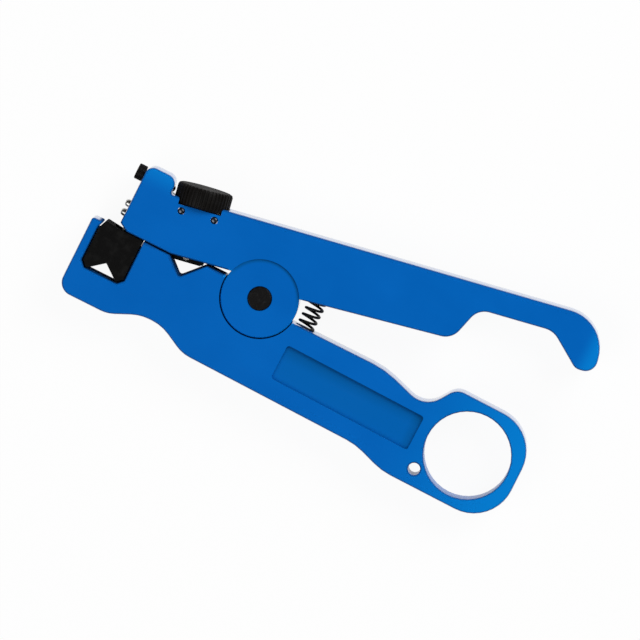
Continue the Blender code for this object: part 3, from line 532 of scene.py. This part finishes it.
def moulded_blue():
    """Glass-filled nylon: an even blue with flow clouds and a fine eroded grain.

    Painted light makes it lighter towards the ring, the hook's end and the horn, on upright walls,
    along the recess's near rim and around the disc's edge. Painted shade darkens the jaws' walls,
    the recess's far side and end, the disc's foot and the rounded cut edges, most on the lower
    left. The recess floor is a darker blue. Upright walls have a thin gloss.
    """
    finish = Finish("moulded_blue", specular=0.05)
    x, y, z = finish.x, finish.y, finish.z
    facing, from_pivot = finish.facing(), finish.distance()
    flat = finish.step(facing, *WALL_END)
    wall = 1 - flat
    rounded = 1 - finish.step(facing, *ROUNDED_END)
    disc_edge = finish.between(from_pivot, *DISC_EDGE, soft=0.2 * MM)
    jaws = finish.box(JAW_X, JAW_Y, soft=1.0 * MM) * wall
    near_rim = finish.box(RECESS_X, RECESS_NEAR_Y, soft=0.4 * MM) * rounded

    clouds = finish.patches(38, 3.0, low=0.3, high=0.7)
    flow = finish.patches(120, 4.0, low=0.35, high=0.75, stretch=(0.25, 1, 1), roughness=0.6)
    colour = finish.mix(clouds * 0.7 + flow * 0.3, BLUE_DEEP, BLUE)
    # Painted light: lighter towards the ring, at the hook's end and at the horn's top
    upper = finish.step(y, *UPPER_Y)
    ring_light = finish.step(x, *RING_LIGHT_X) * (1 - upper)
    hook_light = finish.step(x, *HOOK_LIGHT_X) * upper * 0.8
    horn_light = (1 - finish.step(x, *HORN_LIGHT_X)) * finish.step(y, *HORN_LIGHT_Y) * 0.7
    colour = finish.mix(ring_light + hook_light + horn_light, colour, BLUE_PAINTED_LIGHT)
    # Painted light: upright walls a little lighter and greener than the faces
    colour = finish.mix(wall, colour, BLUE_WALL_LIT)
    # Painted shade: the walls in the jaws and the window much darker
    colour = finish.mix(jaws, colour, BLUE_JAW_SHADE)
    # Painted highlight along the rounded near rim of the grip's recess
    colour = finish.mix(near_rim, colour, BLUE_RIM_HIGHLIGHT)
    # Painted light on the rounded edges around the disc
    colour = finish.mix(disc_edge * rounded, colour, BLUE_PAINTED_LIGHT)

    # Painted shade at the foot of the step on the disc's upper side
    foot = finish.step(from_pivot, *DISC_FOOT_FROM) * (1 - finish.step(from_pivot, *DISC_FOOT_TO))
    foot = foot * finish.step(y, *DISC_FOOT_Y) * flat * (1 - finish.step(z, *DISC_FACE_Z))
    colour = finish.mix(foot * 0.8, colour, BLUE_SHADE)
    # The recess floor is a darker blue, with painted shade towards its far side and its end
    floor = finish.between(z, *RECESS_FLOOR_Z, soft=0.3 * MM) * flat
    floor_shade = 0.55 * finish.step(y, *RECESS_FAR_Y) + 0.45 * finish.step(x, *RECESS_END_X)
    colour = finish.mix(floor, colour, BLUE_RECESS)
    colour = finish.mix(floor * floor_shade, colour, BLUE_SHADE)

    # Painted shade: a dark band along the rounded cut edges, strongest on the lower left;
    # roughness also rises there
    line = finish.step(facing, *EDGE_SHADE_START) * rounded * (1 - near_rim) * (1 - 0.85 * disc_edge)
    shade_side = finish.step(finish.lean(*EDGE_SHADE_SIDE), *EDGE_SHADE_SIDE_LEAN)
    colour = finish.mix(line * (0.4 + 0.35 * shade_side), colour, BLUE_EDGE_SHADE)

    scratches = finish.patches(700, 2.0, low=0.66, high=0.72, stretch=(0.08, 1, 1))
    roughness = 0.3 + 0.06 * clouds + 0.08 * scratches + 0.6 * jaws + 0.3 * line
    grain = finish.bump(finish.noise(5200), depth=0.018 * MM, strength=0.5)
    normal = finish.bump(finish.noise(260), depth=0.03 * MM, strength=0.25, under=grain)
    holes = finish.hole(*RING_HOLE) + finish.hole(*CORD_HOLE)
    gloss = (wall - jaws) * (1 - 0.7 * holes) * (1 - near_rim)
    finish.shader.inputs["Coat Roughness"].default_value = 0.06
    finish.shader.inputs["Coat IOR"].default_value = 1.45
    return finish.feed(base_color=colour, roughness=roughness, normal=normal, coat_weight=gloss)


def moulded_black(name, black, grain_scale, worn, wall_matt):
    """Black moulding: a matt skin with greyer wear."""
    finish = Finish(name, specular=0.07)
    wear = finish.patches(420, 4.0, low=0.45, high=0.75, roughness=0.6)
    wall = 1 - finish.step(finish.facing(), *WALL_END)
    colour = finish.mix(wear * worn, black, BLACK_WORN)
    normal = finish.bump(finish.noise(grain_scale), depth=0.02 * MM, strength=0.6)
    roughness = 0.4 + 0.12 * wear + wall_matt * wall
    return finish.feed(base_color=colour, roughness=roughness, normal=normal)


def black_oxide(name, stretch=(1, 1, 1)):
    """Blackened steel with the turned or drawn lines of its making."""
    finish = Finish(name, metallic=0.1, specular=0.1)
    lines = finish.noise(2600, stretch=stretch)
    rub = finish.patches(700, 4.0, low=0.56, high=0.74)
    colour = finish.mix(rub * 0.55, OXIDE, OXIDE_WORN)
    normal = finish.bump(lines, depth=0.012 * MM, strength=0.5)
    roughness = 0.34 + 0.12 * lines - 0.06 * rub
    return finish.feed(base_color=colour, roughness=roughness, normal=normal)


def pin_steel():
    """Cross pins: darkened steel whose domed ends keep a small bright spot."""
    finish = Finish("pin_steel", metallic=0.9)
    mottle = finish.patches(1500, 3.0, low=0.35, high=0.65)
    colour = finish.mix(mottle * 0.6, PIN_GREY, OXIDE)
    lines = finish.noise(2600, stretch=(1, 1, 0.2))
    normal = finish.bump(lines, depth=0.008 * MM, strength=0.4)
    return finish.feed(base_color=colour, roughness=0.22 + 0.1 * mottle, normal=normal)


def turned_oxide():
    """The pivot's blackened heads: rings from the lathe about the pivot's axis."""
    finish = Finish("turned_oxide", metallic=0.1, specular=0.12)
    waves = finish.distance() * (2 * pi / LATHE_PITCH)
    rings = finish.node("ShaderNodeMath", {"operation": "SINE"}, {0: waves})
    rub = finish.patches(900, 4.0, low=0.5, high=0.72)
    colour = finish.mix(rub * 0.5, OXIDE, OXIDE_WORN)
    normal = finish.bump(rings * 0.5 + 0.5, depth=0.006 * MM, strength=0.4)
    return finish.feed(base_color=colour, roughness=0.36 + 0.1 * rub, normal=normal)


def ground_steel(name, stretch):
    """Bare steel with grinding lines across its length."""
    finish = Finish(name, metallic=1.0)
    lines = finish.noise(3000, 3.0, stretch, roughness=0.6)
    stain = finish.patches(300, 4.0, low=0.5, high=0.8)
    colour = finish.mix(lines * 0.4 + stain * 0.4, STEEL, STEEL_DULL)
    normal = finish.bump(lines, depth=0.01 * MM, strength=0.5)
    roughness = 0.22 + 0.14 * lines + 0.1 * stain
    return finish.feed(base_color=colour, roughness=roughness, normal=normal)


def glowing_paper():
    """A white sheet that takes a pale shadow. Only the camera and reflections see its glow."""
    finish = Finish("paper", roughness=0.9)
    finish.feed(base_color=finish.mix(finish.noise(900, 3.0) * 0.2, PAPER, PAPER_FIBRE))
    camera_ray, glossy_ray, clear_ray = (
        finish.node("ShaderNodeLightPath", {}, {}, f"Is {kind} Ray")
        for kind in ("Camera", "Glossy", "Transmission"))
    glow = finish.node("ShaderNodeEmission", {}, {"Color": WHITE, "Strength": 1.0})
    lit = Wire(finish, finish.shader.outputs[0])
    seen = (camera_ray + glossy_ray + clear_ray) * SHEET_GLOW
    surface = finish.node("ShaderNodeMixShader", {}, {0: seen, 1: lit, 2: glow})
    finish.links.new(surface.socket, finish.nodes["Material Output"].inputs["Surface"])
    return finish.material


BLUE_NYLON = moulded_blue()
BLACK_NYLON = moulded_black("moulded_black", BLACK, 4200, worn=0.6, wall_matt=0.5)
KNOB_NYLON = moulded_black("knob_black", BLACK_KNOB, 5200, worn=0.9, wall_matt=0.2)
SPRING_STEEL = black_oxide("spring_steel")
SCREW_OXIDE = black_oxide("screw_oxide", (4, 1, 1))
PIVOT_OXIDE = turned_oxide()
BLADE_STEEL = ground_steel("blade_steel", (1, 0.06, 1))
RING_BLADE_STEEL = black_oxide("ring_blade_steel", (0.08, 1, 1))
SCREW_STEEL = ground_steel("screw_steel", (1, 1, 1))
PIN_STEEL = pin_steel()
SHEET_PAPER = glowing_paper()


# Levers, mouldings and pivot: welded, softened at their cut edges and shaded smooth

def levers():
    for node in ("lower_lever", "upper_lever"):
        moulding = softened(lifted(node, f"{node}_moulding"), LEVER_EDGE, LEVER_EDGE_STEPS)
        stands_for(smoothed(moulding), node, BLUE_NYLON)


def guide_and_holder():
    for node, width in (("cable_guide", GUIDE_EDGE), ("ring_blade_holder", HOLDER_EDGE)):
        moulding = softened(lifted(node, f"{node}_moulding"), width)
        stands_for(smoothed(moulding), node, BLACK_NYLON)


def pivot():
    """The barrel's plain head and the screw that closes it from behind."""
    for node in ("pivot_barrel", "pivot_screw"):
        head = softened(lifted(node, f"{node}_turned"), PIVOT_EDGE)
        stands_for(smoothed(head), node, PIVOT_OXIDE)


# Depth knob: a ribbed rim over a grooved hub

def column(point, columns):
    """Which column of a turned mesh a vertex is in."""
    return round(point.xy.angle_signed(Vector((1, 0))) / (2 * pi) * columns)


def depth_knob():
    place = knob_axes()
    low, high = box_in("depth_knob", place)
    radius = high.x
    rim_low = high.z - KNOB_HEIGHT
    columns = KNOB_RIBS * RIB_COLUMNS

    def in_hollow(point):
        return (point.xy.length >= radius - KNOB_ROUND / 2
                and column(point, columns) % RIB_COLUMNS in HOLLOW_COLUMNS)

    rim = turned("depth_knob_rim", [
        (radius - KNOB_ROUND, rim_low),
        (radius - ROUND_MIDDLE, rim_low + ROUND_MIDDLE),
        (radius, rim_low + KNOB_ROUND),
        (radius, high.z - KNOB_ROUND),
        (radius - ROUND_MIDDLE, high.z - ROUND_MIDDLE),
        (radius - KNOB_ROUND, high.z),
    ], columns)
    sunk(rim, in_hollow, radius, RIB_DEPTH)
    hub = turned("depth_knob_hub", [
        (HUB_R - EDGE_BREAK, low.z),
        (HUB_R, low.z + EDGE_BREAK),
        (HUB_R, low.z + HUB_LIP),
        (HUB_GROOVE_R, low.z + HUB_LIP),
        (HUB_GROOVE_R, rim_low - HUB_LIP),
        (HUB_R, rim_low - HUB_LIP),
        (HUB_R, rim_low + EDGE_BREAK),
    ])
    knob = placed(joined(rim, hub), place)
    knob.name = "depth_knob_ribbed"
    stands_for(smoothed(knob, KNOB_SMOOTH_UNDER), "depth_knob", KNOB_NYLON)


# Return spring: a coil with a closed turn at each end

def coil_stage(name, radius, turns, rise, start_turn, start_height):
    """Some turns of the coil, about Z."""
    leave_all()
    bpy.ops.mesh.primitive_circle_add(vertices=WIRE_SIDES, radius=SPRING_WIRE / 2,
                                      rotation=(pi / 2, 0, 0), location=(radius, 0, 0))
    steps = round(turns * TURN_STEPS)
    stage = applied(placed(named(name)), "SCREW", angle=2 * pi * turns, screw_offset=rise,
                    steps=steps, render_steps=steps, use_merge_vertices=False)
    start = Matrix.Rotation(2 * pi * start_turn, 4, "Z")
    return placed(stage, Matrix.Translation((0, 0, start_height)) @ start)


def return_spring():
    low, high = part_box("return_spring")
    radius = (high.x - low.x) / 2 - SPRING_WIRE / 2
    foot = SPRING_WIRE / 2
    open_from = foot + CLOSED_RISE
    open_rise = high.y - low.y - SPRING_WIRE - 2 * CLOSED_RISE
    open_to = open_from + open_rise
    spring = joined(
        coil_stage("spring_foot", radius, 1, CLOSED_RISE, 0, foot),
        coil_stage("spring_coils", radius, SPRING_TURNS, open_rise, 0, open_from),
        coil_stage("spring_head", radius, 1, CLOSED_RISE, SPRING_TURNS, open_to),
    )
    with editing(spring):
        bpy.ops.mesh.remove_doubles(threshold=WELD)
        bpy.ops.mesh.select_all(action="DESELECT")
        bpy.ops.mesh.select_non_manifold()
        bpy.ops.mesh.fill()
        bpy.ops.mesh.select_all(action="SELECT")
        bpy.ops.mesh.normals_make_consistent(inside=False)
    seat = Matrix.Translation(((low.x + high.x) / 2, low.y, (low.z + high.z) / 2))
    placed(spring, seat @ Matrix.Rotation(-pi / 2, 4, "X"))
    spring.name = "return_spring_coil"
    coated(take(spring), SPRING_STEEL)
    bpy.ops.object.shade_smooth_by_angle(angle=SPRING_SMOOTH_UNDER)
    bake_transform(spring)
    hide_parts("return_spring")


# Screws and pins

def cap_screw():
    """The click stop's socket cap screw, with a knurled head."""
    place, length, radius = pointing_x("detent_screw")
    columns = KNURLS * KNURL_COLUMNS
    shoulder = CAP_HEAD - EDGE_BREAK / 2

    def in_knurl(point):
        return (point.xy.length > radius - EDGE_BREAK / 2
                and EDGE_BREAK / 2 < point.z < CAP_HEAD - EDGE_BREAK
                and column(point, columns) % KNURL_COLUMNS in GROOVE_COLUMNS)

    screw = turned("detent_cap_screw", [
        (radius - EDGE_BREAK, 0),
        (radius, EDGE_BREAK),
        (radius, CAP_HEAD - 2 * EDGE_BREAK),
        (radius - EDGE_BREAK / 2, shoulder),
        (CAP_SHANK_R, shoulder),
        (CAP_SHANK_R, length - EDGE_BREAK),
        (CAP_SHANK_R - EDGE_BREAK, length),
    ], columns)
    sunk(screw, in_knurl, radius, KNURL_DEPTH)
    hollowed(screw, hexagon("detent_socket", SOCKET_HALF_FLATS, -EDGE_BREAK, SOCKET_DEPTH))
    placed(smoothed(screw, CAP_SMOOTH_UNDER), place)
    stands_for(screw, "detent_screw", SCREW_OXIDE)


def hexagon(name, half_flats, low, high):
    """A hexagonal bar on Z, from one height to another."""
    leave_all()
    bpy.ops.mesh.primitive_cylinder_add(vertices=6, radius=half_flats / cos(pi / 6),
                                        depth=high - low, location=(0, 0, (low + high) / 2))
    return placed(named(name))


def clamp_screws():
    """Two small pan heads with a cross recess."""
    for node in ("clamp_screw_lower", "clamp_screw_upper"):
        place, length, radius = pointing_x(node)
        head = [(radius * wide, PAN_HEAD * high) for wide, high in PAN_PROFILE]
        screw = turned(f"{node}_pan_head", head + [
            (PAN_SHANK_R, PAN_HEAD),
            (PAN_SHANK_R, length - EDGE_BREAK),
            (PAN_SHANK_R - EDGE_BREAK, length),
        ], PAN_SIDES)
        for turn in (0, pi / 2):
            leave_all()
            bpy.ops.mesh.primitive_cube_add(size=1, rotation=(0, 0, turn))
            slot = named("cross_slot")
            slot.scale = (radius * CROSS_LENGTH, radius * CROSS_WIDTH, PAN_HEAD)
            bpy.context.view_layer.update()
            hollowed(screw, placed(slot))
        stands_for(placed(smoothed(screw), place), node, SCREW_STEEL)


def pins():
    """The two cross pins, with domed ends in front."""
    for node in ("knob_pin_left", "knob_pin_right"):
        low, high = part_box(node)
        radius = (high.x - low.x) / 2
        pin = turned(f"{node}_dowel", [
            (radius - EDGE_BREAK, low.z),
            (radius, low.z + EDGE_BREAK),
            *((radius * wide, high.z - below) for wide, below in PIN_DOME),
        ], PIN_SIDES)
        middle = Matrix.Translation(((low.x + high.x) / 2, (low.y + high.y) / 2, 0))
        stands_for(placed(smoothed(pin), middle), node, PIN_STEEL)


def carried_over():
    """Solids that keep their shape get their finish."""
    for node, finish in (
        ("slit_blade", BLADE_STEEL),
        ("slit_blade_clamp", SCREW_OXIDE),
        ("depth_spindle", SCREW_STEEL),
        ("ring_blade", RING_BLADE_STEEL),
        ("ring_blade_screw", SCREW_STEEL),
        ("detent_spring", SPRING_STEEL),
        ("detent_ball", SCREW_STEEL),
    ):
        coated(frame["nodes"][node], finish)


# Studio: a white sheet under the tool, the camera, soft light and the sky

def paper():
    """The sheet that the tool lies on."""
    leave_all()
    bpy.ops.mesh.primitive_plane_add(size=SHEET_SIDE, location=(0, 0, cad_box[0][2]))
    sheet = named("paper")
    sheet.data.materials.append(SHEET_PAPER)


def camera():
    """The photograph's view: from far off, leaning a few degrees from the front faces' normal."""
    right = Vector((cos(LEVER_TURN), sin(LEVER_TURN), 0))
    up = Vector((-sin(LEVER_TURN), cos(LEVER_TURN), 0))
    side = PICTURE_SIDE * PIXEL
    middle = (right * (0.5 - PIVOT_AT[0] / PICTURE_SIDE) * side
              + up * (PIVOT_AT[1] / PICTURE_SIDE - 0.5) * side)
    back = (right * LEAN_RIGHT + up * LEAN_UP + Vector((0, 0, 1))).normalized()
    across = up.cross(back).normalized()
    place = Matrix((across, back.cross(across), back)).transposed().to_4x4()
    place.translation = middle + back * CAMERA_DISTANCE
    leave_all()
    bpy.ops.object.camera_add()
    view = bpy.context.object
    view.name = "camera"
    view.matrix_world = place
    view.data.sensor_width = SENSOR
    view.data.lens = SENSOR * CAMERA_DISTANCE / side
    view.data.clip_end = CAMERA_REACH
    bpy.context.scene.camera = view
    return right, up


def lamps(right, up):
    """Square area lamps that face the middle of the tool."""
    for name, to_right, to_top, height, size, power in LAMPS:
        place = right * to_right + up * to_top + Vector((0, 0, height))
        leave_all()
        bpy.ops.object.light_add(type="AREA", location=place)
        lamp = named(name)
        lamp.data.energy = power
        lamp.data.size = size
        lamp.rotation_euler = (Vector(LAMPS_FACE) - place).to_track_quat("-Z", "Y").to_euler()


def sky():
    """A faint even light, which the camera sees as plain white."""
    world = bpy.data.worlds.new("studio")
    bpy.context.scene.world = world
    world.use_nodes = True
    nodes, links = world.node_tree.nodes, world.node_tree.links
    faint = nodes["Background"]
    faint.inputs["Color"].default_value = WHITE
    faint.inputs["Strength"].default_value = SKY_STRENGTH
    white = nodes.new("ShaderNodeBackground")
    white.inputs["Color"].default_value = WHITE
    path = nodes.new("ShaderNodeLightPath")
    blend = nodes.new("ShaderNodeMixShader")
    links.new(path.outputs["Is Camera Ray"], blend.inputs[0])
    links.new(faint.outputs[0], blend.inputs[1])
    links.new(white.outputs[0], blend.inputs[2])
    links.new(blend.outputs[0], nodes["World Output"].inputs["Surface"])


levers()
guide_and_holder()
depth_knob()
return_spring()
cap_screw()
clamp_screws()
pivot()
pins()
carried_over()
paper()
sky()
lamps(*camera())
bpy.context.scene.view_settings.view_transform = "Standard"
leave_all()
